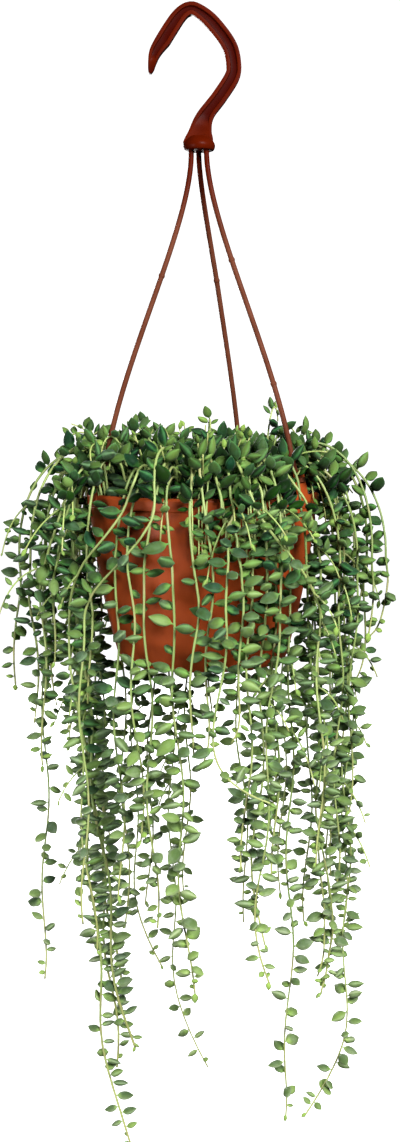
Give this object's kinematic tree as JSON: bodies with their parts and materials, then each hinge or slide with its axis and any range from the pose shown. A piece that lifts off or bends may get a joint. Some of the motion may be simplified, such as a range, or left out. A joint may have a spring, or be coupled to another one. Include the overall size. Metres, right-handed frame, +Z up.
{
  "type": "hanging potted string of beads plant",
  "caption": "Trailing succulent in a round plastic pot on a moulded three-arm hanger with a hook; its beaded strands arch over the rim and hang far below the pot.",
  "frame": {"origin": "the point inside the hook where it bears on the rail or nail that it hangs from", "axes": "+Z up, +X to the right and -Y to the front, as the picture shows it"},
  "size_m": [0.2539, 0.2105, 0.7522],
  "materials": {
    "pot_plastic": "satin",
    "hanger_plastic": "satin",
    "peat": "matte",
    "leaf": "satin"
  },
  "bodies": {
    "root": {"pot": "pot_plastic", "hanger": "hanger_plastic", "soil": "peat", "crown": "leaf", "strand_01": "leaf", "strand_02": "leaf", "strand_03": "leaf", "strand_04": "leaf", "strand_05": "leaf", "strand_06": "leaf", "strand_07": "leaf", "strand_08": "leaf", "strand_09": "leaf", "strand_10": "leaf", "strand_11": "leaf", "strand_12": "leaf", "strand_13": "leaf", "strand_14": "leaf", "strand_15": "leaf", "strand_16": "leaf", "strand_17": "leaf", "strand_18": "leaf", "strand_19": "leaf", "strand_20": "leaf", "strand_21": "leaf", "strand_22": "leaf", "strand_23": "leaf", "strand_24": "leaf", "strand_25": "leaf", "strand_26": "leaf", "strand_27": "leaf", "strand_28": "leaf", "strand_29": "leaf", "strand_30": "leaf", "strand_31": "leaf", "strand_32": "leaf", "strand_33": "leaf", "strand_34": "leaf", "strand_35": "leaf", "strand_36": "leaf", "strand_37": "leaf", "strand_38": "leaf", "strand_39": "leaf", "strand_40": "leaf", "strand_41": "leaf", "strand_42": "leaf", "strand_43": "leaf", "strand_44": "leaf", "strand_45": "leaf", "strand_46": "leaf", "strand_47": "leaf", "strand_48": "leaf", "strand_49": "leaf", "strand_50": "leaf", "strand_51": "leaf", "strand_52": "leaf", "strand_53": "leaf", "strand_54": "leaf"}
  },
  "joints": []
}
